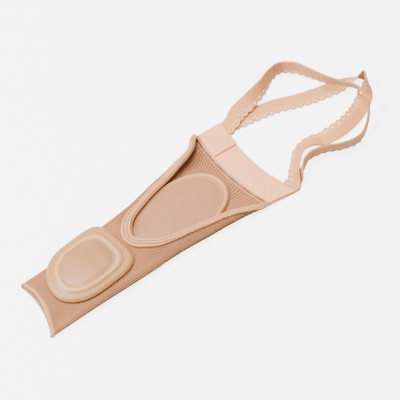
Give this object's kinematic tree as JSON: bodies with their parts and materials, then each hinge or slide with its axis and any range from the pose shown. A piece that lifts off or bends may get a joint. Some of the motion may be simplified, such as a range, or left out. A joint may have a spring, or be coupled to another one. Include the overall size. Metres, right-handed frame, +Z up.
{
  "type": "bunion corrector",
  "caption": "Knitted toe sleeve with a spacer pad on top and a gel pad inside, open above the foot, with a wide elastic band and two lace-edged heel straps.",
  "frame": {"origin": "on the surface that the corrector lies on, at the middle of its underside below the ball of the foot", "axes": "+X from the toe mouth towards the heel straps, +Z up from the surface, +Y to the left seen from the toe mouth"},
  "size_m": [0.2728, 0.0761, 0.0171],
  "materials": {
    "rib_knit": "nude rib-knit nylon and elastane, matt with a slight sheen on the ribs",
    "hem_knit": "lighter pinkish rolled hem and ribbed elastic trim, matt",
    "gel": "cloudy tan silicone gel, satin, with a paler rim",
    "flat_elastic": "smooth flat woven elastic, pale nude, matt",
    "lace_elastic": "nude elastic tape with a cream scalloped lace edge, matt with a faint sheen"
  },
  "bodies": {
    "root": {"toe_sleeve": "rib_knit", "toe_hem": "hem_knit", "opening_trim": "hem_knit", "spacer_pad": "gel", "gel_pad": "gel", "heel_band": "flat_elastic", "strap_tab_left": "flat_elastic", "strap_tab_right": "flat_elastic", "heel_strap_outer": "lace_elastic", "heel_strap_inner": "lace_elastic"}
  },
  "joints": []
}
